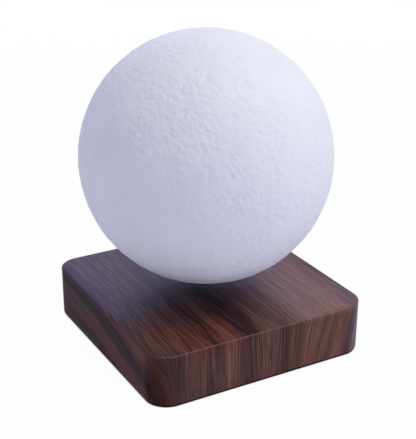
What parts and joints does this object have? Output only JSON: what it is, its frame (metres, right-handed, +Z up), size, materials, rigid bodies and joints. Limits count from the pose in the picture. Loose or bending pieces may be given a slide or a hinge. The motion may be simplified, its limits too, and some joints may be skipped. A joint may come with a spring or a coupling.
{
  "type": "levitating lamp",
  "caption": "Table lamp whose white moon floats over a square wooden base on a magnetic field, lights through its printed shell, and turns and lifts freely.",
  "frame": {"origin": "on the table, under the middle of the base", "axes": "+Z up; the front of the lamp is -Y; the power inlet is in the rear wall, at +Y"},
  "size_m": [0.15, 0.15, 0.1894],
  "materials": {
    "walnut": "satin",
    "cover_plastic": "matte",
    "steel_screws": "satin",
    "foot_rubber": "matte",
    "board_laminate": "satin",
    "white_plastic": "matte",
    "ferrite": "matte",
    "soft_iron": "satin",
    "copper_wire": "gloss",
    "black_resin": "satin",
    "brass_pin": "polished",
    "bare_aluminium": "satin",
    "film_case": "satin",
    "nickel_magnet": "polished",
    "printed_moon": "matte",
    "light_board": "satin",
    "led_resin": "gloss"
  },
  "bodies": {
    "base": {"base_block": "walnut", "bottom_cover": "cover_plastic", "coil_bobbin_1": "cover_plastic", "coil_bobbin_2": "cover_plastic", "coil_bobbin_3": "cover_plastic", "coil_bobbin_4": "cover_plastic", "cover_screw_1": "steel_screws", "cover_screw_2": "steel_screws", "cover_screw_3": "steel_screws", "cover_screw_4": "steel_screws", "board_screw_1": "steel_screws", "board_screw_2": "steel_screws", "board_screw_3": "steel_screws", "board_screw_4": "steel_screws", "rubber_foot_1": "foot_rubber", "rubber_foot_2": "foot_rubber", "rubber_foot_3": "foot_rubber", "rubber_foot_4": "foot_rubber", "control_board": "board_laminate", "module_frame": "white_plastic", "ring_magnet": "ferrite", "choke": "ferrite", "coil_core_1": "soft_iron", "coil_core_2": "soft_iron", "coil_core_3": "soft_iron", "coil_core_4": "soft_iron", "coil_winding_1": "copper_wire", "coil_winding_2": "copper_wire", "coil_winding_3": "copper_wire", "coil_winding_4": "copper_wire", "transmitter_coil": "copper_wire", "hall_sensor_1": "black_resin", "hall_sensor_2": "black_resin", "driver_chip": "black_resin", "dc_jack": "black_resin", "dc_jack_pin": "brass_pin", "heat_sink": "bare_aluminium", "input_capacitor": "bare_aluminium", "film_capacitor": "film_case"},
    "magnet": {"floating_magnet": "nickel_magnet"},
    "moon": {"moon_shell": "printed_moon", "moon_plug": "printed_moon", "magnet_tray": "white_plastic", "tray_screw_1": "steel_screws", "tray_screw_2": "steel_screws", "tray_screw_3": "steel_screws", "receiver_coil": "copper_wire", "led_board": "light_board", "led_board_screw_1": "steel_screws", "led_board_screw_2": "steel_screws", "led_board_screw_3": "steel_screws", "led_1": "led_resin", "led_2": "led_resin", "led_3": "led_resin", "led_4": "led_resin", "smoothing_capacitor": "bare_aluminium"}
  },
  "joints": [
    {"name": "moon_lift", "type": "slide", "parent": "base", "child": "magnet", "axis": [0, 0, 1], "range_m": [-0.0069, 0.012], "stiffness_N_per_m": 60, "springref_m": 0.0324},
    {"name": "moon_spin", "type": "hinge", "parent": "magnet", "child": "moon", "pos_m": [0, 0, 0.1144], "axis": [0, 0, 1], "continuous": true}
  ]
}
